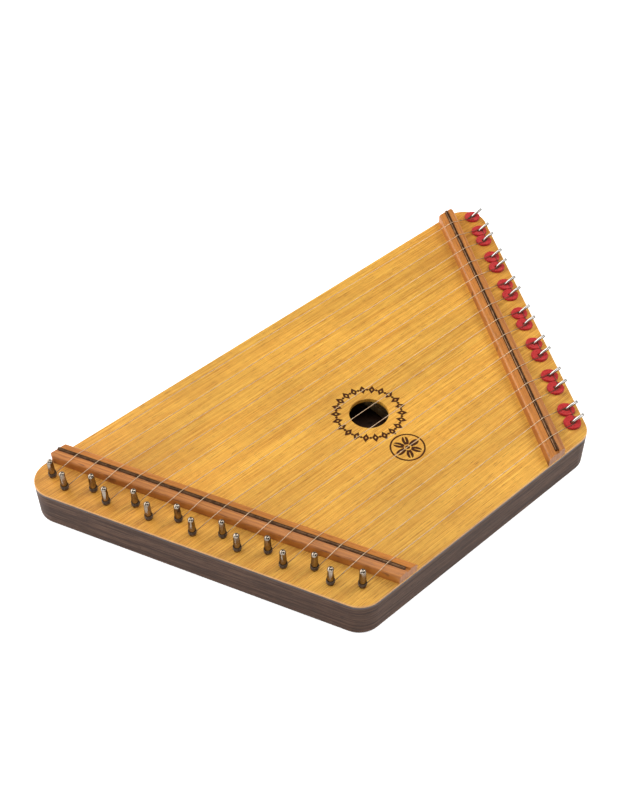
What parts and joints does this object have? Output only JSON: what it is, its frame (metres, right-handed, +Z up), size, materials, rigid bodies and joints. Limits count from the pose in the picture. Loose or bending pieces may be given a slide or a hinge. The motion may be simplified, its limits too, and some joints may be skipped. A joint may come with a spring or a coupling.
{
  "type": "kantele",
  "caption": "Wooden box kantele: a lap zither with a wedge-shaped body, round sound hole, steel strings over two bridge rails, tuning pins on one side and hitch pins on the other.",
  "frame": {"origin": "under the middle of the whole outline, on the flat underside of the back board", "axes": "+X along the strings, from the tuning pins to the hitch pins; +Y to the long side of the box, where the longest string is; +Z up, out of the soundboard"},
  "size_m": [0.4668, 0.25, 0.0485],
  "materials": {
    "lacquered_spruce": "satin honey lacquer over fine straight grain",
    "walnut": "dark grey-brown satin lacquer, grain along the side",
    "maple_block": "bare close-grained hardwood",
    "spruce_lining": "bare softwood",
    "stained_rail": "orange-brown satin lacquer",
    "saddle_steel": "dark drawn wire",
    "hitch_nickel": "bright nickel plate",
    "red_felt": "dense red felt",
    "string_steel": "plain drawn steel wire",
    "pin_nickel": "bright nickel plate"
  },
  "bodies": {
    "zither": {"soundboard": "lacquered_spruce", "back_board": "walnut", "side_band": "walnut", "pin_block": "maple_block", "hitch_block": "maple_block", "rear_top_lining": "spruce_lining", "rear_bottom_lining": "spruce_lining", "front_top_lining": "spruce_lining", "front_bottom_lining": "spruce_lining", "left_soundboard_brace": "spruce_lining", "right_soundboard_brace": "spruce_lining", "back_brace": "spruce_lining", "left_bridge_rail": "stained_rail", "right_bridge_rail": "stained_rail", "left_saddle_rod": "saddle_steel", "right_saddle_rod": "saddle_steel", "hitch_pins": "hitch_nickel", "felt_washers": "red_felt", "string_01": "string_steel", "string_02_03": "string_steel", "string_04_05": "string_steel", "string_06_07": "string_steel", "string_08_09": "string_steel", "string_10_11": "string_steel", "string_12_13": "string_steel", "string_14_15": "string_steel"},
    "pin_01": {"tuning_pin_01": "pin_nickel"},
    "pin_02": {"tuning_pin_02": "pin_nickel"},
    "pin_03": {"tuning_pin_03": "pin_nickel"},
    "pin_04": {"tuning_pin_04": "pin_nickel"},
    "pin_05": {"tuning_pin_05": "pin_nickel"},
    "pin_06": {"tuning_pin_06": "pin_nickel"},
    "pin_07": {"tuning_pin_07": "pin_nickel"},
    "pin_08": {"tuning_pin_08": "pin_nickel"},
    "pin_09": {"tuning_pin_09": "pin_nickel"},
    "pin_10": {"tuning_pin_10": "pin_nickel"},
    "pin_11": {"tuning_pin_11": "pin_nickel"},
    "pin_12": {"tuning_pin_12": "pin_nickel"},
    "pin_13": {"tuning_pin_13": "pin_nickel"},
    "pin_14": {"tuning_pin_14": "pin_nickel"},
    "pin_15": {"tuning_pin_15": "pin_nickel"}
  },
  "joints": [
    {"name": "tuning_01", "type": "hinge", "parent": "zither", "child": "pin_01", "pos_m": [-0.21744, 0.11061, 0.031], "axis": [0, 0, -1], "range_deg": [-180, 20]},
    {"name": "tuning_02", "type": "hinge", "parent": "zither", "child": "pin_02", "pos_m": [-0.21745, 0.09492, 0.031], "axis": [0, 0, -1], "range_deg": [-180, 20]},
    {"name": "tuning_03", "type": "hinge", "parent": "zither", "child": "pin_03", "pos_m": [-0.20318, 0.07923, 0.031], "axis": [0, 0, -1], "range_deg": [-180, 20]},
    {"name": "tuning_04", "type": "hinge", "parent": "zither", "child": "pin_04", "pos_m": [-0.20319, 0.06354, 0.031], "axis": [0, 0, -1], "range_deg": [-180, 20]},
    {"name": "tuning_05", "type": "hinge", "parent": "zither", "child": "pin_05", "pos_m": [-0.18893, 0.04785, 0.031], "axis": [0, 0, -1], "range_deg": [-180, 20]},
    {"name": "tuning_06", "type": "hinge", "parent": "zither", "child": "pin_06", "pos_m": [-0.18894, 0.03216, 0.031], "axis": [0, 0, -1], "range_deg": [-180, 20]},
    {"name": "tuning_07", "type": "hinge", "parent": "zither", "child": "pin_07", "pos_m": [-0.17467, 0.01647, 0.031], "axis": [0, 0, -1], "range_deg": [-180, 20]},
    {"name": "tuning_08", "type": "hinge", "parent": "zither", "child": "pin_08", "pos_m": [-0.17468, 0.00078, 0.031], "axis": [0, 0, -1], "range_deg": [-180, 20]},
    {"name": "tuning_09", "type": "hinge", "parent": "zither", "child": "pin_09", "pos_m": [-0.16041, -0.01491, 0.031], "axis": [0, 0, -1], "range_deg": [-180, 20]},
    {"name": "tuning_10", "type": "hinge", "parent": "zither", "child": "pin_10", "pos_m": [-0.16042, -0.0306, 0.031], "axis": [0, 0, -1], "range_deg": [-180, 20]},
    {"name": "tuning_11", "type": "hinge", "parent": "zither", "child": "pin_11", "pos_m": [-0.14615, -0.04629, 0.031], "axis": [0, 0, -1], "range_deg": [-180, 20]},
    {"name": "tuning_12", "type": "hinge", "parent": "zither", "child": "pin_12", "pos_m": [-0.14616, -0.06198, 0.031], "axis": [0, 0, -1], "range_deg": [-180, 20]},
    {"name": "tuning_13", "type": "hinge", "parent": "zither", "child": "pin_13", "pos_m": [-0.13189, -0.07767, 0.031], "axis": [0, 0, -1], "range_deg": [-180, 20]},
    {"name": "tuning_14", "type": "hinge", "parent": "zither", "child": "pin_14", "pos_m": [-0.1319, -0.09336, 0.031], "axis": [0, 0, -1], "range_deg": [-180, 20]},
    {"name": "tuning_15", "type": "hinge", "parent": "zither", "child": "pin_15", "pos_m": [-0.11763, -0.10905, 0.031], "axis": [0, 0, -1], "range_deg": [-180, 20]}
  ]
}
